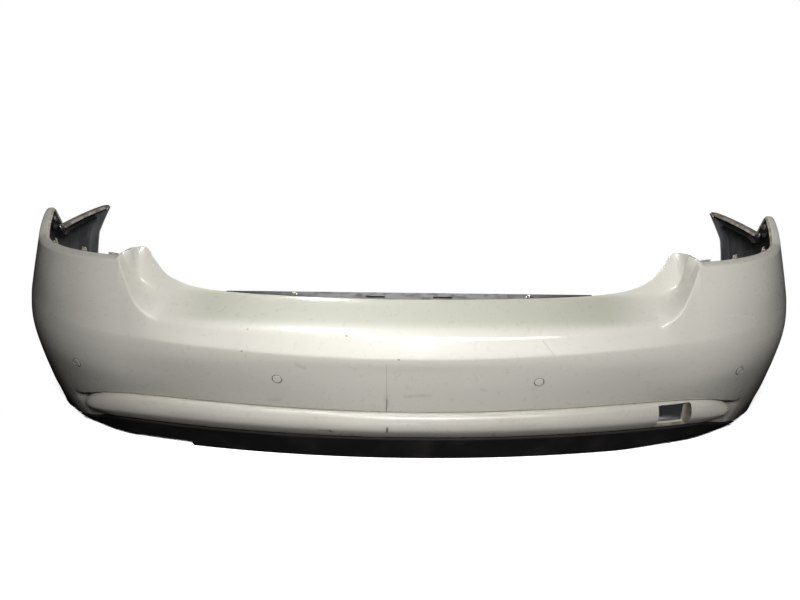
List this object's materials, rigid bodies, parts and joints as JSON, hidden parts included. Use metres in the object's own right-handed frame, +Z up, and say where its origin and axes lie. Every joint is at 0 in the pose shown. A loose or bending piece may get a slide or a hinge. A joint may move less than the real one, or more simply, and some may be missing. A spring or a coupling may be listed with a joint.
{
  "type": "rear bumper cover",
  "caption": "Moulded rear bumper cover for a saloon car: painted skin with trim strip, dark valance, mounting guides, parking sensors and push rivets.",
  "frame": {"origin": "on the floor, in the middle of the cover's box", "axes": "+X to the car's right side, +Y forward (the wings run forward, the rear face looks along -Y), +Z up"},
  "size_m": [1.8006, 0.6156, 0.46],
  "materials": {
    "white_paint": "painted, glossy",
    "black_plastic": "fine grain",
    "grey_plastic": "moulded",
    "black_rubber": "matt",
    "zinc_steel": "zinc plated"
  },
  "bodies": {
    "cover": {"bumper_skin": "white_paint", "lower_trim_strip": "white_paint", "lower_valance": "black_plastic", "centre_guide": "black_plastic", "guide_screw_left": "zinc_steel", "guide_screw_right": "zinc_steel", "side_guide_left": "grey_plastic", "side_guide_right": "grey_plastic", "side_bolt_left_upper": "zinc_steel", "side_bolt_left_lower": "zinc_steel", "side_bolt_right_upper": "zinc_steel", "side_bolt_right_lower": "zinc_steel", "park_sensor_outer_left": "white_paint", "sensor_ring_outer_left": "black_rubber", "sensor_holder_outer_left": "black_plastic", "rivet_body_outer_left": "black_plastic", "park_sensor_inner_left": "white_paint", "sensor_ring_inner_left": "black_rubber", "sensor_holder_inner_left": "black_plastic", "rivet_body_inner_left": "black_plastic", "park_sensor_inner_right": "white_paint", "sensor_ring_inner_right": "black_rubber", "sensor_holder_inner_right": "black_plastic", "rivet_body_inner_right": "black_plastic", "park_sensor_outer_right": "white_paint", "sensor_ring_outer_right": "black_rubber", "sensor_holder_outer_right": "black_plastic", "rivet_body_outer_right": "black_plastic"},
    "pin_outer_left": {"rivet_pin_outer_left": "grey_plastic"},
    "pin_inner_left": {"rivet_pin_inner_left": "grey_plastic"},
    "pin_inner_right": {"rivet_pin_inner_right": "grey_plastic"},
    "pin_outer_right": {"rivet_pin_outer_right": "grey_plastic"}
  },
  "joints": [
    {"name": "pin_outer_left_pull", "type": "slide", "parent": "cover", "child": "pin_outer_left", "axis": [0, 0, -1], "range_m": [0, 0.008]},
    {"name": "pin_inner_left_pull", "type": "slide", "parent": "cover", "child": "pin_inner_left", "axis": [0, 0, -1], "range_m": [0, 0.008]},
    {"name": "pin_inner_right_pull", "type": "slide", "parent": "cover", "child": "pin_inner_right", "axis": [0, 0, -1], "range_m": [0, 0.008]},
    {"name": "pin_outer_right_pull", "type": "slide", "parent": "cover", "child": "pin_outer_right", "axis": [0, 0, -1], "range_m": [0, 0.008]}
  ]
}
